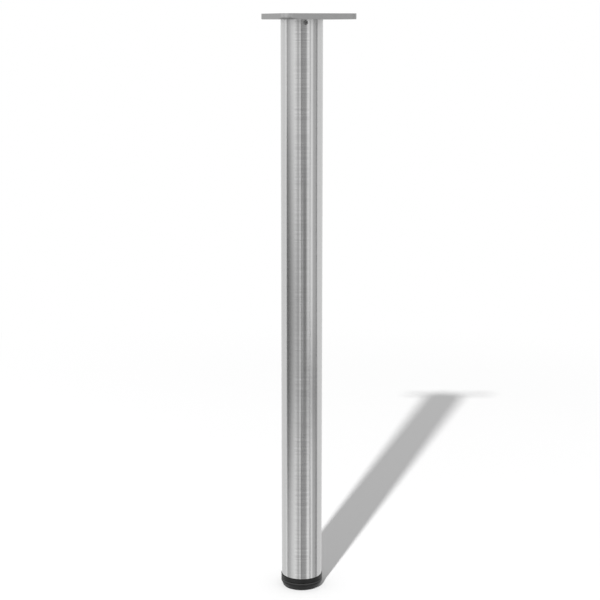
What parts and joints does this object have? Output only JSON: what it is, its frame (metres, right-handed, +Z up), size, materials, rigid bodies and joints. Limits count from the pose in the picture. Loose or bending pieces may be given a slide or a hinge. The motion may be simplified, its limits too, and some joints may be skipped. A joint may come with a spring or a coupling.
{
  "type": "height adjustable table leg",
  "caption": "Round brushed steel table leg with an eccentric screw-on top plate and a black plastic foot that screws out to level the table.",
  "frame": {"origin": "centre of the foot on the floor, on the tube's axis, with the foot screwed fully in", "axes": "+Z up along the tube to the table top; X and Y along the plate's sides, +X the way the plate is offset from the tube"},
  "size_m": [0.11, 0.11, 0.85],
  "materials": {
    "brushed_nickel": "nickel plated, brushed round the tube",
    "plated_casting": "fine satin casting, nickel coloured",
    "dark_screw": "blackened",
    "zinc_steel": "bright zinc plated",
    "black_plastic": "moulded, slight sheen"
  },
  "bodies": {
    "leg": {"mounting_plate": "plated_casting", "tube": "brushed_nickel", "set_screw": "dark_screw", "foot_insert": "black_plastic", "insert_nut": "zinc_steel"},
    "stud": {"foot_stud": "zinc_steel"},
    "foot": {"foot_disc": "black_plastic"}
  },
  "joints": [
    {"name": "foot_travel", "type": "slide", "parent": "leg", "child": "stud", "axis": [0, 0, -1], "range_m": [0, 0.02]},
    {"name": "foot_turn", "type": "hinge", "parent": "stud", "child": "foot", "pos_m": [0, 0, 0.006], "axis": [0, 0, -1], "range_deg": [0, 4800]}
  ],
  "couplings": [
    {"joint": "foot_travel", "follows": "foot_turn", "m_per_rad": 0.00023873}
  ]
}
